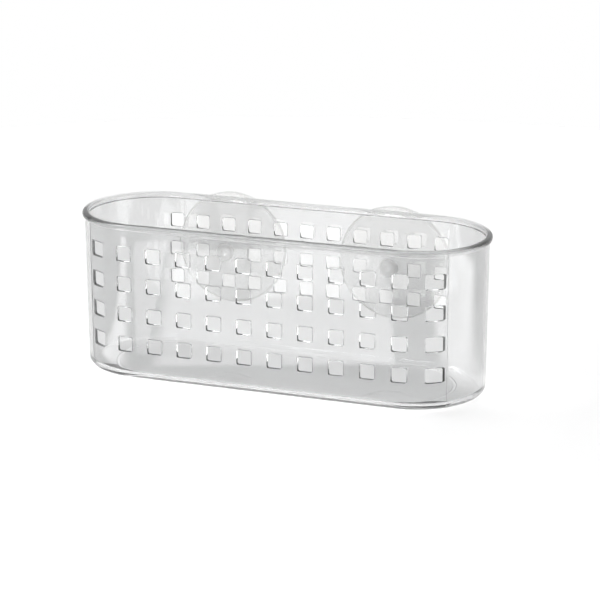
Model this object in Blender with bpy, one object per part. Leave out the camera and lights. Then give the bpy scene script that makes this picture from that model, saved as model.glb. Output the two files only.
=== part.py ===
# Clear moulded shower basket, held on a tiled wall by a pair of suction cups.
# X runs along the basket, +Y points to the wall, +Z is up, and z = 0 is what the feet stand on.
import math

import bmesh
import bpy

# Basket, overall, over the bead of the rim
RIM_LENGTH = 0.293
RIM_DEPTH = 0.1015
HEIGHT = 0.1115

# Basket moulding
WALL = 0.0024
FLOOR = 0.0026
DRAFT = math.radians(0.4)
RIM_OVERHANG = 0.0018
BEAD_HEIGHT = 0.0046
RIM_INNER_ROUND = 0.0009
BASE_FILLET = 0.0052
FLOOR_FILLET = 0.0044

# Foot: one low ridge under the floor, set in from its edge and shorter at the ends
FOOT_HEIGHT = 0.0010
FOOT_WIDTH = 0.0024
FOOT_INSET = 0.0012
FOOT_END_SETBACK = 0.0140

# Front panel between the mould's two side seams, which stands a little proud of the ends
SEAM_STEP = 0.00030
SEAM_RAMP = 0.00040
SEAM_MARGIN = 0.0022

# Square drain holes of the front
FRONT_PITCH = 0.0220
FRONT_ROW_PITCH = 0.0215
FRONT_TOP_ROW_DROP = 0.0213
FRONT_HOLE_WIDTH = 0.0106
FRONT_HOLE_HEIGHT = 0.0104
FRONT_TURN = math.radians(45)

# Square drain holes of the back, which has only its upper part pierced
BACK_PITCH = 0.0198
BACK_ROW_PITCH = 0.0207
BACK_TOP_ROW_DROP = 0.0202
BACK_HOLE = 0.0098
BACK_ROWS = 3
BACK_TURN = math.radians(13)

# Both kinds of square hole
HOLE_CORNER = 0.0012
CUT_OVERRUN = 0.0020

# Suction cups
CUP_RADIUS = 0.0410
CUP_SPACING = 0.1226
CUP_HEIGHT = 0.0715
CUP_STANDOFF = 0.0118
CUP_HOLLOW = 0.0070
CUP_HUB_THICKNESS = 0.0042
CUP_EDGE_THICKNESS = 0.0012
CUP_THIN_POWER = 1.5
LIP_WIDTH = 0.0022
LIP_ROUND = 0.0004
HUB_RADIUS = 0.0075
HUB_ROUND = 0.0006
NECK_RADIUS = 0.0032
BUTTON_RADIUS = 0.0063
BUTTON_HEIGHT = 0.0034
BUTTON_ROUND = 0.0019
BUTTON_UNDERCUT = 0.00025
DIMPLE_RADIUS = 0.0021
DIMPLE_SLOPE = 0.0008
DIMPLE_DEPTH = 0.0011
CLEARANCE = 0.0003

# Clear rigid styrene of the basket and clear soft vinyl of the cups
STYRENE_COLOUR = (0.93, 0.94, 0.94)
STYRENE_ROUGHNESS = 0.04
STYRENE_IOR = 1.58
VINYL_COLOUR = (0.95, 0.95, 0.94)
VINYL_ROUGHNESS = 0.12
VINYL_IOR = 1.53

# How finely round forms are faceted
END_FRONT_STEPS = 6
END_BACK_STEPS = 18
FILLET_STEPS = 4
BEAD_STEPS = 4
RIM_ROUND_STEPS = 3
CORNER_STEPS = 3
CUP_STEPS = 40
NECK_HOLE_STEPS = 28
CUP_PROFILE_STEPS = 7
SHARP_ANGLE = math.radians(30)
MERGE_DISTANCE = 0.000003

# Sizes that follow from those above
end_radius = RIM_DEPTH / 2 - RIM_OVERHANG
half_straight = (RIM_LENGTH - RIM_DEPTH) / 2
floor_top = FOOT_HEIGHT + FLOOR
cup_x = CUP_SPACING / 2


def wall_radius(z):
    """Outer radius of the round ends, and half the depth, at height z."""
    return end_radius - (HEIGHT - z) * math.tan(DRAFT)


def count_that_fit(length, pitch):
    """How many holes stand along length when the first is at its start."""
    return max(0, int(length / pitch) + 1)


def front_columns():
    panel = half_straight + end_radius * math.sin(FRONT_TURN)
    reach = panel - FRONT_HOLE_WIDTH / 2 - SEAM_MARGIN
    side = count_that_fit(reach - FRONT_PITCH / 2, FRONT_PITCH)
    return [(i + 0.5) * FRONT_PITCH for i in range(-side, side)]


def back_columns():
    reach = half_straight + end_radius * math.sin(BACK_TURN) - BACK_HOLE / 2
    side = count_that_fit(reach - BACK_PITCH, BACK_PITCH)
    return [i * BACK_PITCH for i in range(-side, side + 1)]


def rows_that_fit(top, pitch, hole_height):
    """Heights of the rows from the top one down to the floor's fillet."""
    lowest = floor_top + FLOOR_FILLET + hole_height / 2
    return [top - i * pitch for i in range(count_that_fit(top - lowest, pitch))]


def front_rows():
    return rows_that_fit(HEIGHT - FRONT_TOP_ROW_DROP, FRONT_ROW_PITCH, FRONT_HOLE_HEIGHT)


def back_rows():
    return rows_that_fit(HEIGHT - BACK_TOP_ROW_DROP, BACK_ROW_PITCH, BACK_HOLE)[:BACK_ROWS]


seam_x = front_columns()[-1] + FRONT_HOLE_WIDTH / 2 + SEAM_MARGIN


def seam_angle(radius):
    """Angle of the seam round an end, from the front."""
    return math.asin(min(max((seam_x - half_straight) / radius, 0.0), 1.0))


def end_angles(radius):
    """Angles round the right end, 0 at the front and 180 degrees at the back.

    The two beside the seam are close together, and the step lies between them.
    """
    seam = seam_angle(radius)
    half_ramp = SEAM_RAMP / 2 / radius
    before = [(seam - half_ramp) * i / END_FRONT_STEPS for i in range(END_FRONT_STEPS + 1)]
    left = math.pi - seam - half_ramp
    after = [seam + half_ramp + left * i / END_BACK_STEPS for i in range(END_BACK_STEPS + 1)]
    return before, after


def ring(radius, z, straight=half_straight, proud=0.0):
    """One closed outline with round ends; the front between the seams stands proud."""
    before, after = end_angles(radius)
    right = [(a, radius + proud) for a in before] + [(a, radius) for a in after]
    points = [(straight + r * math.sin(a), -r * math.cos(a), z) for a, r in right]
    points += [(-x, y, z) for x, y, z in reversed(points)]
    return points


def arc(centre_r, centre_z, radius_r, radius_z, start, end, steps):
    """Points of a quarter or half round of the wall's profile, angles in degrees."""
    points = []
    for i in range(steps + 1):
        a = math.radians(start + (end - start) * i / steps)
        points.append((centre_r + radius_r * math.cos(a), centre_z + radius_z * math.sin(a)))
    return points


def basket_rings():
    """The basket's skin from the foot, up the outside, over the rim and down to the floor."""
    rings = []
    base_z = FOOT_HEIGHT + BASE_FILLET
    base_radius = wall_radius(base_z) - BASE_FILLET
    foot_radius = base_radius - FOOT_INSET
    foot_straight = half_straight - FOOT_END_SETBACK
    for radius, z in ((foot_radius - FOOT_WIDTH, FOOT_HEIGHT), (foot_radius - FOOT_WIDTH, 0.0),
                      (foot_radius, 0.0), (foot_radius, FOOT_HEIGHT)):
        rings.append(ring(radius, z, straight=foot_straight))

    outside = arc(base_radius, base_z, BASE_FILLET, BASE_FILLET, -90, 0, FILLET_STEPS)
    bead_z = HEIGHT - BEAD_HEIGHT / 2
    outside += arc(end_radius, bead_z, RIM_OVERHANG, BEAD_HEIGHT / 2, -90, 0, BEAD_STEPS)
    bead_core = end_radius + RIM_OVERHANG - BEAD_HEIGHT / 2
    outside += arc(bead_core, bead_z, BEAD_HEIGHT / 2, BEAD_HEIGHT / 2, 0, 90, BEAD_STEPS)[1:]
    rings += [ring(r, z, proud=SEAM_STEP) for r, z in outside]

    lip_radius = end_radius - WALL + RIM_INNER_ROUND
    inside = arc(lip_radius, HEIGHT - RIM_INNER_ROUND, RIM_INNER_ROUND, RIM_INNER_ROUND,
                 90, 180, RIM_ROUND_STEPS)
    low_z = floor_top + FLOOR_FILLET
    low_radius = wall_radius(low_z) - WALL - FLOOR_FILLET
    inside += arc(low_radius, low_z, FLOOR_FILLET, FLOOR_FILLET, 0, -90, FILLET_STEPS)
    rings += [ring(r, z) for r, z in inside]
    return rings


def loft(bm, rings):
    """Closed solid through rings that have the same number of points."""
    loops = [[bm.verts.new(p) for p in points] for points in rings]
    for low, high in zip(loops, loops[1:]):
        for i in range(len(low)):
            j = (i + 1) % len(low)
            bm.faces.new((low[i], low[j], high[j], high[i]))
    bm.faces.new(list(reversed(loops[0])))
    bm.faces.new(loops[-1])
    bmesh.ops.recalc_face_normals(bm, faces=bm.faces)


def square_outline(width, height, corner, steps):
    """Corner points of a square hole, round at each corner."""
    points = []
    for quarter, (sx, sz) in enumerate(((1, 1), (-1, 1), (-1, -1), (1, -1))):
        for i in range(steps + 1):
            a = math.radians(90) * (quarter + i / steps)
            points.append((sx * (width / 2 - corner) + corner * math.cos(a),
                           sz * (height / 2 - corner) + corner * math.sin(a)))
    return points


def round_outline(radius, steps):
    turn = [math.tau * i / steps for i in range(steps)]
    return [(radius * math.cos(a), radius * math.sin(a)) for a in turn]


def add_prism(bm, outline, x, z, y_near, y_far):
    """A straight prism along Y through the wall, with outline centred at x, z."""
    near = [bm.verts.new((x + px, y_near, z + pz)) for px, pz in outline]
    face = bm.faces.new(near)
    grown = bmesh.ops.extrude_face_region(bm, geom=[face])
    tops = [v for v in grown["geom"] if isinstance(v, bmesh.types.BMVert)]
    bmesh.ops.translate(bm, verts=tops, vec=(0.0, y_far - y_near, 0.0))


def hits_cup_button(x, z):
    """True where a square hole would run into the round hole of a cup's neck."""
    reach = BUTTON_RADIUS + BACK_HOLE / 2
    return abs(abs(x) - cup_x) < reach and abs(z - CUP_HEIGHT) < reach


def make_cutter():
    bm = bmesh.new()
    low_radius = wall_radius(0.0) - WALL
    inner = low_radius * math.cos(seam_angle(low_radius)) - CUT_OVERRUN
    outer = RIM_DEPTH / 2 + CUT_OVERRUN
    front = square_outline(FRONT_HOLE_WIDTH, FRONT_HOLE_HEIGHT, HOLE_CORNER, CORNER_STEPS)
    for x in front_columns():
        for z in front_rows():
            add_prism(bm, front, x, z, -outer, -inner)
    back = square_outline(BACK_HOLE, BACK_HOLE, HOLE_CORNER, CORNER_STEPS)
    for x in back_columns():
        for z in back_rows():
            if not hits_cup_button(x, z):
                add_prism(bm, back, x, z, inner, outer)
    neck = round_outline(NECK_RADIUS + CLEARANCE, NECK_HOLE_STEPS)
    for x in (-cup_x, cup_x):
        add_prism(bm, neck, x, CUP_HEIGHT, inner, outer)
    bmesh.ops.recalc_face_normals(bm, faces=bm.faces)
    return bm


def cup_profile():
    """Half section of a cup as (radius, distance behind the basket's wall), hub to lip and back.

    The button lies inside the basket, so its distances are negative.
    """
    seat = -WALL / math.cos(DRAFT) - CLEARANCE
    face = seat - BUTTON_HEIGHT
    profile = [(0.0, face + DIMPLE_DEPTH), (DIMPLE_RADIUS - DIMPLE_SLOPE, face + DIMPLE_DEPTH),
               (DIMPLE_RADIUS, face)]
    profile += arc(BUTTON_RADIUS - BUTTON_ROUND, face + BUTTON_ROUND, BUTTON_ROUND, BUTTON_ROUND,
                   -90, 0, BEAD_STEPS)
    profile += [(BUTTON_RADIUS - BUTTON_UNDERCUT, seat), (NECK_RADIUS, seat), (NECK_RADIUS, CLEARANCE),
                (HUB_RADIUS, CLEARANCE)]
    hub_edge = HUB_RADIUS + HUB_ROUND
    flat = CUP_RADIUS - LIP_WIDTH

    def hollow(radius):
        return CUP_STANDOFF - CUP_HOLLOW * (1 - (radius / flat) ** 2)

    def thickness(radius):
        taper = max(0.0, 1 - radius / CUP_RADIUS) ** CUP_THIN_POWER
        return CUP_EDGE_THICKNESS + (CUP_HUB_THICKNESS - CUP_EDGE_THICKNESS) * taper

    outward = [hub_edge + (flat - hub_edge) * i / CUP_PROFILE_STEPS
               for i in range(CUP_PROFILE_STEPS + 1)]
    profile += [(r, hollow(r) - thickness(r)) for r in outward]
    rim_back = CUP_STANDOFF - CUP_EDGE_THICKNESS
    profile += [(CUP_RADIUS - LIP_ROUND, rim_back + LIP_ROUND), (CUP_RADIUS, rim_back + 2 * LIP_ROUND),
                (CUP_RADIUS, CUP_STANDOFF)]
    profile += [(r, hollow(r)) for r in reversed([0.0] + outward)]
    return profile


def make_cup():
    """A cup turned about its own Y axis, its origin at the outer face of the wall."""
    bm = bmesh.new()
    verts = [bm.verts.new((r, y, 0.0)) for r, y in cup_profile()]
    edges = [bm.edges.new(pair) for pair in zip(verts, verts[1:])]
    bmesh.ops.spin(bm, geom=verts + edges, cent=(0.0, 0.0, 0.0), axis=(0.0, 1.0, 0.0),
                   angle=math.tau, steps=CUP_STEPS, use_merge=True)
    bmesh.ops.remove_doubles(bm, verts=bm.verts, dist=MERGE_DISTANCE)
    bmesh.ops.recalc_face_normals(bm, faces=bm.faces)
    return bm


def clear_plastic(name, colour, roughness, ior):
    material = bpy.data.materials.new(name)
    material.use_nodes = True
    shader = material.node_tree.nodes["Principled BSDF"]
    shader.inputs["Base Color"].default_value = (*colour, 1.0)
    shader.inputs["Roughness"].default_value = roughness
    shader.inputs["Metallic"].default_value = 0.0
    shader.inputs["IOR"].default_value = ior
    shader.inputs["Transmission Weight"].default_value = 1.0
    return material


def add_object(name, bm, parent, location=(0.0, 0.0, 0.0), material=None):
    mesh = bpy.data.meshes.new(name)
    bm.to_mesh(mesh)
    bm.free()
    mesh.shade_smooth()
    mesh.set_sharp_from_angle(angle=SHARP_ANGLE)
    obj = bpy.data.objects.new(name, mesh)
    if material:
        mesh.materials.append(material)
    bpy.context.scene.collection.objects.link(obj)
    obj.parent = parent
    obj.location = location
    return obj


def main():
    for obj in list(bpy.data.objects):
        bpy.data.objects.remove(obj, do_unlink=True)

    # The frame's origin is midway between the front of the rim and the plane of the cups' lips
    wall_face = wall_radius(CUP_HEIGHT)
    lip_plane = wall_face + CUP_STANDOFF
    centre = bpy.data.objects.new("basket_centre", None)
    bpy.context.scene.collection.objects.link(centre)
    centre.location = (0.0, (RIM_DEPTH / 2 + SEAM_STEP - lip_plane) / 2, 0.0)

    styrene = clear_plastic("clear_styrene", STYRENE_COLOUR, STYRENE_ROUGHNESS, STYRENE_IOR)
    vinyl = clear_plastic("clear_soft_vinyl", VINYL_COLOUR, VINYL_ROUGHNESS, VINYL_IOR)

    bm = bmesh.new()
    loft(bm, basket_rings())
    basket = add_object("basket", bm, centre, material=styrene)
    cutter = add_object("perforation_cutter", make_cutter(), centre)
    cutter.hide_render = True
    cutter.display_type = "WIRE"
    pierce = basket.modifiers.new("perforation", "BOOLEAN")
    pierce.operation = "DIFFERENCE"
    pierce.solver = "EXACT"
    pierce.object = cutter

    for name, x in (("left_suction_cup", -cup_x), ("right_suction_cup", cup_x)):
        add_object(name, make_cup(), centre, (x, wall_face, CUP_HEIGHT), vinyl)


main()
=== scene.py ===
import math

import bmesh
import bpy
import numpy as np
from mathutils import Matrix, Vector


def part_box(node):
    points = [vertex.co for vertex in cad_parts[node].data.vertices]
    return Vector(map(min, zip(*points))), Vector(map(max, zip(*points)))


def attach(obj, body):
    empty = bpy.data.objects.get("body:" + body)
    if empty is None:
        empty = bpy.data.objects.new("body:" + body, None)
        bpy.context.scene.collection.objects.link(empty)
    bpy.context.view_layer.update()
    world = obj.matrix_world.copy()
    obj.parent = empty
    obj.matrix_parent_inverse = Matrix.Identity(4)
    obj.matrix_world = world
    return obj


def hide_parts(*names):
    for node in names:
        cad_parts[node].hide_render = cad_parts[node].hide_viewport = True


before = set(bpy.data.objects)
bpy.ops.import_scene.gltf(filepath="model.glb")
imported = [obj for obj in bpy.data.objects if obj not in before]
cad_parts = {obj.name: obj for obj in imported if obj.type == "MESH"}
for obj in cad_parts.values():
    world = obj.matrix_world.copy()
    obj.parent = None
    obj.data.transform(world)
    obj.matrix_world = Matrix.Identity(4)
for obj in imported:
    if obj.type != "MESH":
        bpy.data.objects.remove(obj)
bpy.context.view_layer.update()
basketLow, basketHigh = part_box("basket")
mm = 0.001
print("frame loaded:", len(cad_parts), "nodes")

# how near is near enough when cutting, picking and merging
near = {
    "hair": 0.01 * mm,
    "same": 0.02 * mm,
    "level": 0.05 * mm,
    "margin": 0.1 * mm,
    "merge": 0.002 * mm,
    "cupMerge": 0.004 * mm,
    "step": 0.001 * mm,
    "countShare": 0.001,  # keeps an exact division from being rounded up
}

# Moulded basket. The wall is laid out flat, pierced and edged, and then bent round.
basket = {
    "rimLength": 293.0 * mm,
    "wall": 2.4 * mm,
    "floor": 2.6 * mm,
    "draft": math.radians(0.4),
    "rimOverhang": 1.8 * mm,
    "beadHeight": 4.6 * mm,
    "rimInnerRound": 0.9 * mm,
    "rimMattFrom": 110 * mm,
    "footMattTo": 1.6 * mm,
    "baseFillet": 5.2 * mm,
    "floorFillet": 4.4 * mm,
    "footHeight": 1.0 * mm,
    "footWidth": 2.4 * mm,
    "footInset": 1.2 * mm,
    "footEndSetback": 14.0 * mm,
    "footEdge": 0.25 * mm,
    "footReachShare": 2.2,
    "seamStep": 0.3 * mm,
    "seamRamp": 0.55 * mm,
    "grooveAt": 0.16 * mm,
    "grooveDepth": 0.24 * mm,
    "seamX": 128.5 * mm,
    "frontPitch": 22.0 * mm,
    "frontColumns": 12,
    "frontHole": (10.6 * mm, 10.4 * mm),
    "frontRows": [(90.2 - 21.5 * i) * mm for i in range(4)],
    "backPitch": 19.8 * mm,
    "backColumns": 11,
    "backHole": (9.8 * mm, 9.8 * mm),
    "backRows": [(91.3 - 20.7 * i) * mm for i in range(3)],
    "backTurn": math.radians(13),
    "sharpFrom": math.radians(60),
    "cornerRound": 1.2 * mm,
    "cornerSteps": 6,
    "edgeRound": 0.22 * mm,
    "edgeSteps": 3,
    "neckHole": 3.5 * mm,
    "neckSteps": 48,
    "neckCollar": 5.4 * mm,
    "neckPatch": 17.0 * mm,
    "lineStep": 1.8 * mm,
    "endSteps": 56,
    "roundSteps": 9,
    "bendLimitShare": 0.98,
    "smoothTo": math.radians(32),
    "normalWeight": 60,
}
# Suction cups. They stand here because the basket's wall leaves room for them.
cup = {
    "radius": 41.0 * mm,
    "spacing": 122.6 * mm,
    "height": 71.5 * mm,
    "standoff": 11.8 * mm,
    "hollow": 7.0 * mm,
    "hubThickness": 4.2 * mm,
    "edgeThickness": 1.2 * mm,
    "thinPower": 1.5,
    "innerRings": [0.0, 3.0 * mm, 5.0 * mm],
    "lipWidth": 2.2 * mm,
    "lipFrontRound": 0.85 * mm,
    "lipBackRound": 0.3 * mm,
    "lipSteps": 6,
    "lipHazeWidth": 1.3 * mm,
    "lipHazeFade": 0.4 * mm,
    "hubRadius": 7.5 * mm,
    "hubRound": 0.6 * mm,
    "hubBevel": 0.3 * mm,
    "neckRadius": 3.2 * mm,
    "buttonRadius": 6.3 * mm,
    "buttonHeight": 3.4 * mm,
    "buttonRound": 1.9 * mm,
    "buttonSteps": 8,
    "buttonMatt": 0.7,
    "seatInset": 0.25 * mm,
    "seatBevel": 0.15 * mm,
    "dimpleRadius": 2.1 * mm,
    "dimpleDepth": 1.1 * mm,
    "dimpleShares": [(0, 1), (0.45, 0.93), (0.8, 0.45), (1.1, 0)],
    "clearance": 0.3 * mm,
    "steps": 128,
    "profileSteps": 28,
    "smoothTo": math.radians(35),
}

height = basketHigh.z
rimDepth = basketHigh.y - basketLow.y - basket["seamStep"]
centreY = basketHigh.y - rimDepth / 2
endRadius = rimDepth / 2 - basket["rimOverhang"]
halfStraight = (basket["rimLength"] - rimDepth) / 2
floorTop = basket["footHeight"] + basket["floor"]
wallLow = floorTop + basket["floorFillet"]
wallHigh = height - basket["beadHeight"]
beadCore = endRadius + basket["rimOverhang"] - basket["beadHeight"] / 2
backX = halfStraight + endRadius * math.sin(basket["backTurn"])


def wallRadius(z):
    return endRadius - (height - z) * math.tan(basket["draft"])


def endSpan(r):
    # angles round an end where the blank part of the wall starts and stops, for radius r
    seam = np.arcsin((basket["seamX"] - halfStraight) / r)
    back = math.pi - np.arcsin((backX - halfStraight) / r)
    return seam, back


baseZ = basket["footHeight"] + basket["baseFillet"]
baseRadius = wallRadius(baseZ) - basket["baseFillet"]
footRadius = baseRadius - basket["footInset"]

# the flat sheet starts and ends in the middle of the left end
seamAngle, backAngle = endSpan(endRadius)
blankLength = endRadius * (backAngle - seamAngle)
sheetStart = -basket["seamX"] - blankLength / 2
sheetEnd = basket["seamX"] + blankLength * 1.5 + 2 * backX
backMiddle = basket["seamX"] + blankLength + backX
necks = [backMiddle + side * cup["spacing"] / 2 for side in (-1, 1)]


def bent(u, w, z, setback):
    # where a point of the sheet goes: u runs round the wall from the front's middle, w is depth into it
    r = wallRadius(z) - w
    seam, back = endSpan(r)
    straight = halfStraight - setback
    seamX = basket["seamX"]
    rightEnd = seamX + blankLength
    leftStart = rightEnd + 2 * backX
    front = np.abs(u) <= seamX
    onBack = (u > rightEnd) & (u < leftStart)
    x = np.where(onBack, rightEnd + backX - u, u)
    over = np.clip(np.abs(x) - halfStraight, 0, r * basket["bendLimitShare"])
    side = np.where(onBack, 1.0, -1.0)
    inner = np.abs(x) / halfStraight * straight
    piercedX = np.where(np.abs(x) <= halfStraight, np.sign(x) * inner, np.sign(x) * (straight + over))
    piercedY = side * np.sqrt(r * r - over * over)
    right = np.where(u > 0, (u - seamX) / blankLength, (-seamX - u) / blankLength)
    right = np.where(u >= leftStart, 1 - (u - leftStart) / blankLength, right)
    angle = seam + right * (back - seam)
    leftSide = (u < 0) | (u >= leftStart)
    endX = np.where(leftSide, -1.0, 1.0) * (straight + r * np.sin(angle))
    endY = -r * np.cos(angle)
    pierced = front | onBack
    px = np.where(pierced, piercedX, endX)
    py = np.where(pierced, piercedY, endY)
    return np.stack([px, py + centreY, z], 1)


def newFrom(name):
    piece = bpy.context.object
    piece.name = piece.data.name = name
    return piece


def editMesh():
    return bmesh.from_edit_mesh(bpy.context.object.data)


def pickFaces(test):
    mesh = editMesh()
    for f in mesh.faces:
        f.select_set(False)
    for f in mesh.faces:
        if test(f):
            f.select_set(True)
    bmesh.update_edit_mesh(bpy.context.object.data)


def pickEdges(test):
    bpy.ops.mesh.select_mode(type="EDGE")
    bpy.ops.mesh.select_all(action="DESELECT")
    for e in editMesh().edges:
        if test(e):
            e.select_set(True)
    bmesh.update_edit_mesh(bpy.context.object.data)


def sliceAt(places, normal, test):
    # cuts the faces that pass the test along planes across the sheet
    for place in places:
        bpy.ops.mesh.select_mode(type="FACE")
        pickFaces(test)
        point = [place * n for n in normal]
        bpy.ops.mesh.bisect(plane_co=point, plane_no=normal, threshold=near["hair"])


def nearly(a, b):
    return abs(a - b) < near["same"]


def openEdgeAt(w, z):
    # a test for the edges of the sheet's border that lie at this depth and height
    def test(e):
        return len(e.link_faces) == 1 and all(nearly(v.co.y, w) and nearly(v.co.z, z) for v in e.verts)

    return test


def between(start, stop, step):
    count = max(1, math.ceil((stop - start) / step - near["countShare"]))
    return [start + (stop - start) * i / count for i in range(1, count)]


def bothSides(middles, width):
    return [m + side * width / 2 for m in middles for side in (-1, 1)]


def arcPoints(centreR, centreZ, radiusR, radiusZ, start, end, steps):
    turn = [math.radians(start + (end - start) * i / steps) for i in range(steps + 1)]
    return [(centreR + radiusR * math.cos(a), centreZ + radiusZ * math.sin(a)) for a in turn]


def extrudeAlong(points, start):
    # extrudes the selected edges through (r, z) points, from the (w, z) that they have now
    w0, z0 = start
    for r, z in points:
        w = wallRadius(z) - r
        move = {"value": (0, w - w0, z - z0)}
        bpy.ops.mesh.extrude_edges_move(TRANSFORM_OT_translate=move)
        w0, z0 = w, z


def layOutSheet():
    # the wall as a flat sheet, with the upright lines of its blank ends and of the seams' grooves
    seamX = basket["seamX"]
    middle = ((sheetStart + sheetEnd) / 2, 0, (wallLow + wallHigh) / 2)
    bpy.ops.mesh.primitive_plane_add(size=1, rotation=(math.pi / 2, 0, 0), location=middle)
    sheet = newFrom("moulded_basket")
    sheet.scale = (sheetEnd - sheetStart, wallHigh - wallLow, 1)
    bpy.ops.object.transform_apply(location=True, rotation=True, scale=True)
    bpy.ops.object.mode_set(mode="EDIT")
    blanks = [blankLength * i / basket["endSteps"] for i in range(basket["endSteps"] + 1)]
    uprights = [seamX + d for d in blanks]
    uprights += [seamX + blankLength + 2 * backX + d for d in blanks]
    uprights += [-seamX - d for d in blanks]
    uprights += [side * (seamX + d) for side in (-1, 1) for d in (basket["grooveAt"], basket["seamRamp"])]
    inside = [u for u in uprights if sheetStart + near["margin"] < u < sheetEnd - near["margin"]]
    sliceAt(inside, (1, 0, 0), lambda f: True)
    return sheet


def sliceZone(middle, reach, columns, pitch, hole, rows):
    # cuts a pierced zone along the edges of its holes, and gives the middles of its columns
    def inZone(f):
        return abs(f.calc_center_median().x - middle) < reach

    centres = [(i - (columns - 1) / 2) * pitch for i in range(columns)]
    edges = bothSides(centres, hole[0])
    fixed = sorted(edges + [-reach, reach])
    extra = []
    for a, c in zip(fixed, fixed[1:]):
        if max(abs(a), abs(c)) > halfStraight:
            extra += between(a, c, basket["lineStep"])
    sliceAt([middle + x for x in edges + extra], (1, 0, 0), inZone)
    sliceAt(bothSides(rows, hole[1]), (0, 0, 1), inZone)
    return centres


def openHoles(frontAt, backAt):
    # deletes the drain holes, and a square patch of wall round each neck
    b = basket
    neckZ = cup["height"]
    buttonReach = cup["buttonRadius"] + b["backHole"][0] / 2

    def freeOfNecks(u, z):
        return all(abs(u - n) >= buttonReach or abs(z - neckZ) >= buttonReach for n in necks)

    openings = [(x, z, b["frontHole"]) for x in frontAt for z in b["frontRows"]]
    backPlaces = [(backMiddle + x, z) for x in backAt for z in b["backRows"]]
    openings += [(u, z, b["backHole"]) for u, z in backPlaces if freeOfNecks(u, z)]
    openings += [(n, neckZ, (b["neckPatch"], b["neckPatch"])) for n in necks]

    for n in necks:

        def nearPatch(f):
            c = f.calc_center_median()
            return abs(c.x - n) < b["backPitch"] and abs(c.z - neckZ) < b["backPitch"]

        sliceAt(bothSides([n], b["neckPatch"]), (1, 0, 0), nearPatch)
        sliceAt(bothSides([neckZ], b["neckPatch"]), (0, 0, 1), nearPatch)

    def isOpen(f):
        c = f.calc_center_median()
        return any(abs(c.x - u) < wide / 2 and abs(c.z - z) < tall / 2 for u, z, (wide, tall) in openings)

    bpy.ops.mesh.select_mode(type="FACE")
    pickFaces(isOpen)
    bpy.ops.mesh.delete(type="FACE")


def cutNeckHole(n):
    # a round hole with an even collar of faces, then the rest of the patch
    b = basket
    middle = Vector((n, 0, cup["height"]))
    reach = b["neckPatch"] / 2 + near["margin"]
    for radius in (b["neckHole"], b["neckCollar"]):
        bpy.ops.mesh.select_all(action="DESELECT")
        bpy.ops.mesh.primitive_circle_add(vertices=b["neckSteps"], radius=radius, location=middle,
                                          rotation=(math.pi / 2, 0, 0))

    def onCircle(e, radius):
        return all(nearly((v.co - middle).length, radius) for v in e.verts)

    def onPatch(e):
        return all(abs(v.co.x - n) < reach and abs(v.co.z - cup["height"]) < reach for v in e.verts)

    pickEdges(lambda e: onCircle(e, b["neckHole"]) or onCircle(e, b["neckCollar"]))
    bpy.ops.mesh.bridge_edge_loops()
    pickEdges(lambda e: len(e.link_faces) == 1 and onPatch(e) and not onCircle(e, b["neckHole"]))
    bpy.ops.mesh.bridge_edge_loops()


def thickenWall(sheet):
    bpy.ops.mesh.select_all(action="SELECT")
    bpy.ops.mesh.normals_make_consistent(inside=False)
    bpy.ops.object.mode_set(mode="OBJECT")
    outwards = sum(p.normal.y for p in sheet.data.polygons)
    thick = sheet.modifiers.new("wall", "SOLIDIFY")
    thick.thickness = basket["wall"]
    thick.offset = -1 if outwards < 0 else 1
    bpy.ops.object.modifier_apply(modifier=thick.name)
    bpy.ops.object.mode_set(mode="EDIT")

    # the sheet's own borders stay open
    def isBorder(f):
        c = f.calc_center_median()
        atSide = nearly(c.x, sheetStart) or nearly(c.x, sheetEnd)
        return atSide or nearly(c.z, wallLow) or nearly(c.z, wallHigh)

    bpy.ops.mesh.select_mode(type="FACE")
    pickFaces(isBorder)
    bpy.ops.mesh.delete(type="ONLY_FACE")
    bpy.ops.mesh.select_all(action="SELECT")
    bpy.ops.mesh.delete_loose()


def roundHoles():
    # first the four corners of each hole, then its edges on both faces of the wall
    b = basket

    def isSharp(e):
        return len(e.link_faces) == 2 and e.calc_face_angle() > b["sharpFrom"]

    def isCorner(e):
        a, c = e.verts[0].co, e.verts[1].co
        return nearly(a.x, c.x) and nearly(a.z, c.z) and isSharp(e)

    pickEdges(isCorner)
    bpy.ops.mesh.bevel(offset=b["cornerRound"], segments=b["cornerSteps"], affect="EDGES")
    pickEdges(isSharp)
    bpy.ops.mesh.bevel(offset=b["edgeRound"], segments=b["edgeSteps"], affect="EDGES", clamp_overlap=False)


def growFoot():
    # outside, down round the base to the foot
    b = basket
    foot = b["footHeight"]
    edge = b["footEdge"]
    innerRadius = footRadius - b["footWidth"]
    points = arcPoints(baseRadius, baseZ, b["baseFillet"], b["baseFillet"], 0, -90, b["roundSteps"])
    points += [(footRadius + edge, foot), (footRadius, foot - edge), (footRadius, edge),
               (footRadius - edge, 0), (innerRadius + edge, 0), (innerRadius, edge), (innerRadius, foot)]
    pickEdges(openEdgeAt(0, wallLow))
    extrudeAlong(points, (0, wallLow))


def growBead():
    # outside, up over the bead
    half = basket["beadHeight"] / 2
    steps = basket["roundSteps"]
    points = arcPoints(endRadius, height - half, basket["rimOverhang"], half, -90, 0, steps)[1:]
    points += arcPoints(beadCore, height - half, half, half, 0, 90, steps)[1:]
    pickEdges(openEdgeAt(0, wallHigh))
    extrudeAlong(points, (0, wallHigh))


def stepSeams():
    # the front panel stands proud of the ends, and a fine groove parts them
    b = basket
    for v in editMesh().verts:
        outside = v.co.y < b["wall"] / 2 or v.co.z < wallLow - near["hair"]
        if outside and v.co.z < height - near["hair"]:
            if abs(v.co.x) < b["seamX"] + near["hair"]:
                v.co.y -= b["seamStep"]
            elif nearly(abs(v.co.x), b["seamX"] + b["grooveAt"]) and v.co.z > baseZ:
                v.co.y += b["grooveDepth"]


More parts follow.
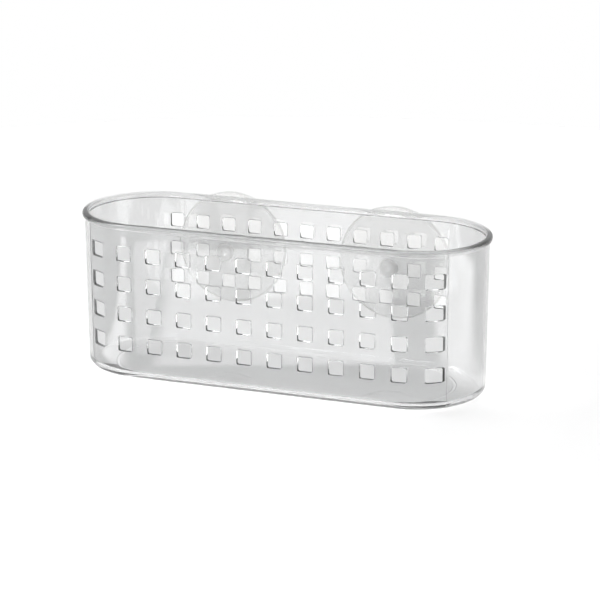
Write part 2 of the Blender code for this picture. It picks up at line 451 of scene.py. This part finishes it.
def growInside():
    # inside, over the lip and down to the floor
    b = basket
    lip = b["rimInnerRound"]
    points = arcPoints(endRadius - b["wall"] + lip, height - lip, lip, lip, 180, 90, b["roundSteps"])
    pickEdges(openEdgeAt(b["wall"], wallHigh))
    extrudeAlong(points + [(beadCore, height)], (b["wall"], wallHigh))
    fillet = b["floorFillet"]
    lowRadius = wallRadius(wallLow) - b["wall"] - fillet
    pickEdges(openEdgeAt(b["wall"], wallLow))
    extrudeAlong(arcPoints(lowRadius, wallLow, fillet, fillet, 0, -90, b["roundSteps"])[1:],
                 (b["wall"], wallLow))


def makeBasket():
    b = basket
    sheet = layOutSheet()
    frontAt = sliceZone(0, b["seamX"], b["frontColumns"], b["frontPitch"], b["frontHole"], b["frontRows"])
    backAt = sliceZone(backMiddle, backX, b["backColumns"], b["backPitch"], b["backHole"], b["backRows"])
    print("wall sheet sliced:", len(editMesh().faces), "faces")
    openHoles(frontAt, backAt)
    for n in necks:
        cutNeckHole(n)
    thickenWall(sheet)
    roundHoles()
    print("wall pierced and edged:", len(editMesh().faces), "faces")
    growFoot()
    growBead()
    stepSeams()
    growInside()
    bpy.ops.mesh.select_all(action="SELECT")
    bpy.ops.mesh.remove_doubles(threshold=near["merge"])
    bpy.ops.mesh.dissolve_degenerate(threshold=near["merge"])
    bpy.ops.mesh.normals_make_consistent(inside=False)
    bpy.ops.object.mode_set(mode="OBJECT")
    return sheet


def shadeSheet(sheet):
    # smooth shading whose large faces stay true, kept as its own normals
    bpy.ops.object.shade_smooth_by_angle(angle=basket["smoothTo"])
    weigh = sheet.modifiers.new("weigh", "WEIGHTED_NORMAL")
    weigh.keep_sharp = True
    weigh.weight = basket["normalWeight"]
    bpy.ops.object.modifier_apply(modifier=weigh.name)


def vectorsOf(data, count, name):
    values = np.empty(count * 3)
    data.foreach_get(name, values)
    return values.reshape(-1, 3)


def bendSheet(sheet):
    # bends the sheet round, and turns its normals the same way
    b = basket
    mesh = sheet.data
    u, w, z = vectorsOf(mesh.vertices, len(mesh.vertices), "co").T
    if sum(p.normal.y * p.area for p in mesh.polygons if nearly(p.center.y, b["wall"])) < 0:
        mesh.flip_normals()
    normals = vectorsOf(mesh.corner_normals, len(mesh.loops), "vector")

    # the foot's ridge is shorter than the basket
    footReach = footRadius - b["footEdge"] + b["footReachShare"] * b["footEdge"]
    isFoot = (z < b["footHeight"] + near["hair"]) & (wallRadius(z) - w < footReach)
    setback = np.where(isFoot, b["footEndSetback"], 0.0)
    step = near["step"]
    here = bent(u, w, z, setback)
    alongU = (bent(u + step, w, z, setback) - bent(u - step, w, z, setback)) / (2 * step)
    alongW = (bent(u, w + step, z, setback) - bent(u, w - step, z, setback)) / (2 * step)
    alongZ = (bent(u, w, z + step, setback) - bent(u, w, z - step, setback)) / (2 * step)
    corner = np.empty(len(mesh.loops), dtype=int)
    mesh.loops.foreach_get("vertex_index", corner)
    turned = (normals[:, 0:1] * np.cross(alongW, alongZ)[corner]
              + normals[:, 1:2] * np.cross(alongZ, alongU)[corner]
              + normals[:, 2:3] * np.cross(alongU, alongW)[corner])
    turned /= np.linalg.norm(turned, axis=1)[:, None]
    mesh.vertices.foreach_set("co", here.astype(np.float32).ravel())
    kept = mesh.attributes.new("bentNormal", "FLOAT_VECTOR", "CORNER")
    kept.data.foreach_set("vector", turned.astype(np.float32).ravel())
    mesh.update()


def closeBasket(sheet):
    # joins the two ends of the sheet, and fills the floor's top and underside
    bpy.ops.object.mode_set(mode="EDIT")
    bpy.ops.mesh.select_all(action="SELECT")
    bpy.ops.mesh.remove_doubles(threshold=near["merge"])
    for level in (basket["footHeight"], floorTop):

        def onLevel(e):
            return len(e.link_faces) == 1 and all(abs(v.co.z - level) < near["level"] for v in e.verts)

        pickEdges(onLevel)
        bpy.ops.mesh.mark_sharp()
        bpy.ops.mesh.edge_face_add()
    bpy.ops.object.mode_set(mode="OBJECT")

    # the two new faces copied their neighbours' normals, and get their own
    mesh = sheet.data
    stored = vectorsOf(mesh.attributes["bentNormal"].data, len(mesh.loops), "vector")
    for p in sorted(mesh.polygons, key=lambda p: p.area)[-2:]:
        if p.loop_total > basket["endSteps"]:
            up = 1.0 if nearly(p.center.z, floorTop) else -1.0
            stored[p.loop_start:p.loop_start + p.loop_total] = (0, 0, up)
            if p.normal.z * up < 0:
                p.flip()
    mesh.normals_split_custom_set([tuple(n) for n in stored])
    mesh.attributes.remove(mesh.attributes["bentNormal"])


def openEdges(piece):
    check = bmesh.new()
    check.from_mesh(piece.data)
    loose = sum(1 for e in check.edges if len(e.link_faces) != 2)
    volume = check.calc_volume(signed=True)
    check.free()
    return loose, volume


def markMatt(piece, share):
    # how matt the finish is at each point, read by the material
    matt = piece.data.attributes.new("mattShare", "FLOAT", "POINT")
    for v, point in zip(piece.data.vertices, matt.data):
        point.value = share(v.co)


bpy.ops.object.select_all(action="DESELECT")
basketPiece = makeBasket()
shadeSheet(basketPiece)
bendSheet(basketPiece)
closeBasket(basketPiece)
markMatt(basketPiece, lambda p: float(p.z < basket["footMattTo"] or p.z > basket["rimMattFrom"]))
print("basket bent:", len(basketPiece.data.polygons), "faces, open edges, volume:", openEdges(basketPiece))

# each cup is drawn as a half section and spun about its neck
wallFace = centreY + wallRadius(cup["height"])


def cupSection():
    # points (distance from the neck's axis, depth behind the wall), from the button to the hollow
    c = cup
    seat = -basket["wall"] / math.cos(basket["draft"]) - c["clearance"]
    face = seat - c["buttonHeight"]
    section = [(c["dimpleRadius"] * r, face + c["dimpleDepth"] * d) for r, d in c["dimpleShares"]]
    button = c["buttonRound"]
    crown = c["buttonRadius"] - button
    section += arcPoints(crown, face + button, button, button, -90, 0, c["buttonSteps"])
    seatRadius = c["buttonRadius"] - c["seatInset"]
    section += [(seatRadius, seat - c["seatBevel"]), (seatRadius - c["seatBevel"], seat)]
    section += [(c["neckRadius"], seat), (c["neckRadius"], c["clearance"])]
    section += [(c["hubRadius"] - c["hubBevel"], c["clearance"])]
    section += [(c["hubRadius"], c["clearance"] + c["hubBevel"])]
    flat = c["radius"] - c["lipWidth"]
    hubEdge = c["hubRadius"] + c["hubRound"]

    def inside(r):
        return c["standoff"] - c["hollow"] * (1 - (r / flat) ** 2)

    def thick(r):
        taper = max(0.0, 1 - r / c["radius"]) ** c["thinPower"]
        return c["edgeThickness"] + (c["hubThickness"] - c["edgeThickness"]) * taper

    out = [hubEdge + (flat - hubEdge) * i / c["profileSteps"] for i in range(c["profileSteps"] + 1)]
    section += [(r, inside(r) - thick(r)) for r in out]
    rimBack = c["standoff"] - c["edgeThickness"]
    front, back = c["lipFrontRound"], c["lipBackRound"]
    section += arcPoints(c["radius"] - front, rimBack + front, front, front, -90, 0, c["lipSteps"])
    section += arcPoints(c["radius"] - back, c["standoff"] - back, back, back, 0, 90, c["lipSteps"])
    section += [(flat, c["standoff"])]
    section += [(r, inside(r)) for r in reversed(c["innerRings"] + out[:-1])]
    return section


def makeCup(name, x):
    section = cupSection()
    bpy.ops.object.select_all(action="DESELECT")
    bpy.ops.mesh.primitive_plane_add(size=mm, location=(0, 0, 0))
    piece = newFrom(name)
    bpy.ops.object.mode_set(mode="EDIT")
    bpy.ops.mesh.select_mode(type="VERT")
    bpy.ops.mesh.select_all(action="SELECT")
    bpy.ops.mesh.merge(type="CENTER")
    bpy.ops.transform.translate(value=(section[0][0], section[0][1], 0))
    for (r0, y0), (r1, y1) in zip(section, section[1:]):
        step = {"value": (r1 - r0, y1 - y0, 0)}
        bpy.ops.mesh.extrude_region_move(TRANSFORM_OT_translate=step)
    bpy.ops.mesh.select_all(action="SELECT")
    bpy.ops.mesh.spin(steps=cup["steps"], angle=math.tau, center=(0, 0, 0), axis=(0, 1, 0))
    bpy.ops.mesh.select_all(action="SELECT")
    bpy.ops.mesh.remove_doubles(threshold=near["cupMerge"])
    bpy.ops.mesh.normals_make_consistent(inside=False)
    bpy.ops.transform.translate(value=(x, wallFace, cup["height"]))
    bpy.ops.object.mode_set(mode="OBJECT")
    bpy.ops.object.shade_smooth_by_angle(angle=cup["smoothTo"])

    # the button and the lip are the matt parts
    def mattShare(p):
        if p.y < wallFace - basket["wall"]:
            return cup["buttonMatt"]
        away = math.hypot(p.x - x, p.z - cup["height"])
        return min(1.0, max(0.0, (away - cup["radius"] + cup["lipHazeWidth"]) / cup["lipHazeFade"]))

    markMatt(piece, mattShare)
    print(name, "spun:", len(piece.data.polygons), "faces, open edges, volume:", openEdges(piece))
    return piece


leftCup = makeCup("left_cup", -cup["spacing"] / 2)
rightCup = makeCup("right_cup", cup["spacing"] / 2)

for piece, node, body, slot in ((basketPiece, "basket", "basket_body", "clear_styrene"),
                                (leftCup, "left_suction_cup", "left_cup", "clear_soft_vinyl"),
                                (rightCup, "right_suction_cup", "right_cup", "clear_soft_vinyl")):
    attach(piece, body)
    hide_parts(node)


def mathNode(nodes, links, operation, *values):
    # each value is a socket or a plain number
    node = nodes.new("ShaderNodeMath")
    node.operation = operation
    for value, entry in zip(values, node.inputs):
        if isinstance(value, bpy.types.NodeSocket):
            links.new(value, entry)
        else:
            entry.default_value = value
    return node.outputs["Value"]


def rangeNode(nodes, links, value, given, wanted, kind="LINEAR"):
    # maps the given range of the value onto the wanted one, and stops at its ends
    node = nodes.new("ShaderNodeMapRange")
    node.interpolation_type = kind
    node.inputs["From Min"].default_value, node.inputs["From Max"].default_value = given
    node.inputs["To Min"].default_value, node.inputs["To Max"].default_value = wanted
    links.new(value, node.inputs["Value"])
    return node.outputs["Result"]


# Finishes. The plastic takes its grey mostly from a tint at each face, and a little from what it absorbs.
styreneLook = {
    "colour": (0.755, 0.758, 0.76, 1),
    "clearShare": 1.0,
    "ior": 1.57,
    "absorbed": (0.06, 0.065, 0.065, 1),
    "density": 16.0,
    "shadowTint": (0.93, 0.93, 0.93, 1),
    "roughness": (0.012, 0.045),
    "mattRoughness": 0.27,
    "milk": 0.0,
    "haze": (38.0, 4.0),  # scale and detail, also of the ripple and grain
    "hazeRange": (0.35, 0.75),
    "rippleStretch": (1.0, 1.0, 0.45),
    "ripple": (24.0, 1.5),
    "rippleDepth": 0.035 * mm,
    "grain": (900.0, 2.0),
    "grainDepth": 0.0015 * mm,
}
vinylLook = {
    "colour": (0.9, 0.9, 0.895, 1),
    "clearShare": 0.94,
    "ior": 1.52,
    "absorbed": (0.08, 0.08, 0.07, 1),
    "density": 12.0,
    "shadowTint": (0.94, 0.94, 0.94, 1),
    "roughness": (0.05, 0.13),
    "mattRoughness": 0.45,
    "milk": 0.4,
    "haze": (60.0, 4.0),
    "hazeRange": (0.35, 0.75),
    "rippleStretch": (1.0, 1.0, 1.0),
    "ripple": (42.0, 1.5),
    "rippleDepth": 0.05 * mm,
    "grain": (700.0, 2.0),
    "grainDepth": 0.003 * mm,
}


def clearPlastic(name, look):
    material = bpy.data.materials.new(name)
    material.use_nodes = True
    nodes, links = material.node_tree.nodes, material.node_tree.links
    shader = nodes["Principled BSDF"]
    output = nodes["Material Output"]
    shader.inputs["Base Color"].default_value = look["colour"]
    shader.inputs["IOR"].default_value = look["ior"]
    shader.inputs["Transmission Weight"].default_value = look["clearShare"]

    place = nodes.new("ShaderNodeTexCoord")
    stretch = nodes.new("ShaderNodeMapping")
    stretch.inputs["Scale"].default_value = look["rippleStretch"]
    links.new(place.outputs["Object"], stretch.inputs["Vector"])

    def noise(scaleAndDetail):
        node = nodes.new("ShaderNodeTexNoise")
        node.inputs["Scale"].default_value, node.inputs["Detail"].default_value = scaleAndDetail
        links.new(stretch.outputs["Vector"], node.inputs["Vector"])
        return node.outputs["Fac"]

    def bump(scaleAndDetail, depth):
        node = nodes.new("ShaderNodeBump")
        node.inputs["Distance"].default_value = depth
        links.new(noise(scaleAndDetail), node.inputs["Height"])
        return node

    # faint clouds of haze from the mould and from handling, and matt edges
    haze = rangeNode(nodes, links, noise(look["haze"]), look["hazeRange"], look["roughness"])
    matt = nodes.new("ShaderNodeAttribute")
    matt.attribute_name = "mattShare"
    share = matt.outputs["Fac"]
    rough = mathNode(nodes, links, "MULTIPLY_ADD", share, look["mattRoughness"], haze)
    links.new(rough, shader.inputs["Roughness"])
    if look["milk"]:
        clear = mathNode(nodes, links, "MULTIPLY_ADD", share, -look["milk"], look["clearShare"])
        links.new(clear, shader.inputs["Transmission Weight"])

    # slow ripple left by the flow of the melt, with a fine grain over it
    ripple = bump(look["ripple"], look["rippleDepth"])
    grain = bump(look["grain"], look["grainDepth"])
    links.new(ripple.outputs["Normal"], grain.inputs["Normal"])
    links.new(grain.outputs["Normal"], shader.inputs["Normal"])

    # lamps shine through, a little dimmed at each face
    through = nodes.new("ShaderNodeBsdfTransparent")
    through.inputs["Color"].default_value = look["shadowTint"]
    path = nodes.new("ShaderNodeLightPath")
    mix = nodes.new("ShaderNodeMixShader")
    links.new(path.outputs["Is Shadow Ray"], mix.inputs["Fac"])
    links.new(shader.outputs["BSDF"], mix.inputs[1])
    links.new(through.outputs["BSDF"], mix.inputs[2])
    links.new(mix.outputs["Shader"], output.inputs["Surface"])

    absorb = nodes.new("ShaderNodeVolumeAbsorption")
    absorb.inputs["Color"].default_value = look["absorbed"]
    absorb.inputs["Density"].default_value = look["density"]
    links.new(absorb.outputs["Volume"], output.inputs["Volume"])
    return material


styrene = clearPlastic("clearStyrene", styreneLook)
vinyl = clearPlastic("clearSoftVinyl", vinylLook)
basketPiece.data.materials.append(styrene)
leftCup.data.materials.append(vinyl)
rightCup.data.materials.append(vinyl)
print("finishes made")

# Stage: a pale floor, and a world that is white low down, where the backdrop is, and dimmer overhead
stage = {
    "floorRadius": 0.85,
    "floorSides": 96,
    "floorColour": (0.86, 0.86, 0.86, 1),
    "floorRoughness": 0.9,
    "floorShine": 0.0,
    "glow": (0.09, 0.55),
    "glowFrom": (0, 0.3, 0),
    "glowReach": (0.33, 0.95),
    "sky": (1.0, 0.35),
    "skyBetween": (math.radians(12), math.radians(45)),
    "skyLight": 0.6,
    "white": (1, 1, 1, 1),
}


def seenRays(nodes, links):
    # 1 for what the eye sees, and for what is mirrored or seen through the plastic
    path = nodes.new("ShaderNodeLightPath")
    glossy, through = path.outputs["Is Glossy Ray"], path.outputs["Is Transmission Ray"]
    bounced = mathNode(nodes, links, "MAXIMUM", glossy, through)
    return mathNode(nodes, links, "MAXIMUM", path.outputs["Is Camera Ray"], bounced)


def makeFloor():
    sides, radius = stage["floorSides"], stage["floorRadius"]
    bpy.ops.mesh.primitive_circle_add(vertices=sides, radius=radius, fill_type="NGON")
    floor = newFrom("floor")
    material = bpy.data.materials.new("paleFloor")
    material.use_nodes = True
    nodes, links = material.node_tree.nodes, material.node_tree.links
    shader = nodes["Principled BSDF"]
    shader.inputs["Base Color"].default_value = stage["floorColour"]
    shader.inputs["Roughness"].default_value = stage["floorRoughness"]
    shader.inputs["Specular IOR Level"].default_value = stage["floorShine"]
    shader.inputs["Emission Color"].default_value = stage["white"]
    # the lamps fade further out from a place behind the basket, and the glow makes up for it
    place = nodes.new("ShaderNodeTexCoord")
    away = nodes.new("ShaderNodeVectorMath")
    away.operation = "DISTANCE"
    links.new(place.outputs["Object"], away.inputs[0])
    away.inputs[1].default_value = stage["glowFrom"]
    spread = rangeNode(nodes, links, away.outputs["Value"], stage["glowReach"], stage["glow"], "SMOOTHSTEP")
    glow = mathNode(nodes, links, "MULTIPLY", seenRays(nodes, links), spread)
    links.new(glow, shader.inputs["Emission Strength"])
    floor.data.materials.append(material)


def makeWorld():
    world = bpy.data.worlds.new("studio")
    bpy.context.scene.world = world
    world.use_nodes = True
    nodes, links = world.node_tree.nodes, world.node_tree.links
    place = nodes.new("ShaderNodeTexCoord")
    axis = nodes.new("ShaderNodeSeparateXYZ")
    links.new(place.outputs["Generated"], axis.inputs["Vector"])
    heights = [math.sin(angle) for angle in stage["skyBetween"]]
    fade = rangeNode(nodes, links, axis.outputs["Z"], heights, stage["sky"], "SMOOTHSTEP")
    # as light it is dimmed to a plain level
    share = rangeNode(nodes, links, seenRays(nodes, links), (0, 1), (stage["skyLight"], 1))
    back = nodes["Background"]
    back.inputs["Color"].default_value = stage["white"]
    links.new(mathNode(nodes, links, "MULTIPLY", fade, share), back.inputs["Strength"])


# Lights and camera. Bearings are in degrees from the front, positive to the object's right.
lampAim = (0, 0, 50 * mm)
lamps = [
    # name, azimuth, elevation, distance, width, height, watts
    ("frontSoftbox", -20, 40, 1.4, 0.3, 0.3, 3.6),
    ("leftSoftbox", -75, 50, 1.3, 0.4, 0.4, 5.2),
    ("topSoftbox", 170, 60, 1.5, 1.0, 0.8, 13.8),
]
panelHeight = 0.5 * mm
panels = [
    # they lie on the floor: name, middle x and y, turn, width, length, brightness, fading shares
    ("frontPanel", -62 * mm, -252 * mm, -20.6, 186 * mm, 306 * mm, 2.1, (0.07, 0.04)),
    ("leftPanel", -214 * mm, -212 * mm, -24.6, 92 * mm, 346 * mm, 2.9, (0.38, 0.04)),
    ("gapPanel", -166 * mm, -241 * mm, -22.6, 28 * mm, 306 * mm, 1.4, (0.04, 0.04)),
    ("rightPanel", 381.6 * mm, -62.5 * mm, 29.9, 370 * mm, 430 * mm, 2.9, (0.15, 0.28)),
]
camera = {
    "azimuth": math.radians(20.14),
    "elevation": math.radians(16.65),
    "distance": 1.5826,
    "focalPixels": 2294.2,
    "imagePixels": 600,
    "sensorWidth": 36,
    "target": (11.98 * mm, centreY, 55.48 * mm),
}


def lookFrom(azimuth, elevation):
    flat = math.cos(elevation)
    return Vector((math.sin(azimuth) * flat, -math.cos(azimuth) * flat, math.sin(elevation)))


def areaLight(name, width, length, watts):
    light = bpy.data.lights.new(name, "AREA")
    light.shape = "RECTANGLE"
    light.size, light.size_y, light.energy = width, length, watts
    lamp = bpy.data.objects.new(name, light)
    bpy.context.scene.collection.objects.link(lamp)
    lamp.visible_camera = False
    return lamp


def shadePanel(panel, fades):
    # a panel lights things and is mirrored in them, but isn't seen straight through the plastic:
    # the depths count how often a ray was mirrored and how often it went through
    panel.data.use_nodes = True
    nodes, links = panel.data.node_tree.nodes, panel.data.node_tree.links
    half = 0.5
    path = nodes.new("ShaderNodeLightPath")
    mirrored = mathNode(nodes, links, "GREATER_THAN", path.outputs["Glossy Depth"], half)
    clear = mathNode(nodes, links, "LESS_THAN", path.outputs["Transmission Depth"], half)
    strength = mathNode(nodes, links, "MAXIMUM", mirrored, clear)
    # it fades out towards its sides and ends, as a softbox does, and Parametric runs from 0 to 1 across it
    place = nodes.new("ShaderNodeNewGeometry")
    along = nodes.new("ShaderNodeSeparateXYZ")
    links.new(place.outputs["Parametric"], along.inputs["Vector"])
    for axis, fade in zip("XY", fades):
        offset = mathNode(nodes, links, "SUBTRACT", along.outputs[axis], half)
        away = mathNode(nodes, links, "ABSOLUTE", offset)
        soft = rangeNode(nodes, links, away, (half, half - fade), (0, 1), "SMOOTHSTEP")
        strength = mathNode(nodes, links, "MULTIPLY", strength, soft)
    links.new(strength, nodes["Emission"].inputs["Strength"])


def makeLights():
    for name, azimuth, elevation, distance, width, tall, watts in lamps:
        lamp = areaLight(name, width, tall, watts)
        away = lookFrom(math.radians(azimuth), math.radians(elevation))
        lamp.location = Vector(lampAim) + away * distance
        lamp.rotation_euler = away.to_track_quat("Z", "Y").to_euler()
    for name, x, y, turn, width, length, bright, fades in panels:
        panel = areaLight(name, width, length, bright * math.pi * width * length)
        panel.location = (x, y, panelHeight)
        panel.rotation_euler = (math.pi, 0, math.radians(turn))
        shadePanel(panel, fades)


def makeCamera():
    lens = bpy.data.cameras.new("photoCamera")
    eye = bpy.data.objects.new("photoCamera", lens)
    bpy.context.scene.collection.objects.link(eye)
    bpy.context.scene.camera = eye
    away = lookFrom(camera["azimuth"], camera["elevation"])
    eye.location = Vector(camera["target"]) + away * camera["distance"]
    eye.rotation_euler = away.to_track_quat("Z", "Y").to_euler()
    lens.sensor_width = camera["sensorWidth"]
    lens.lens = camera["focalPixels"] / camera["imagePixels"] * lens.sensor_width


bpy.context.scene.view_settings.view_transform = "Standard"
makeFloor()
makeWorld()
makeLights()
makeCamera()
print("stage ready")
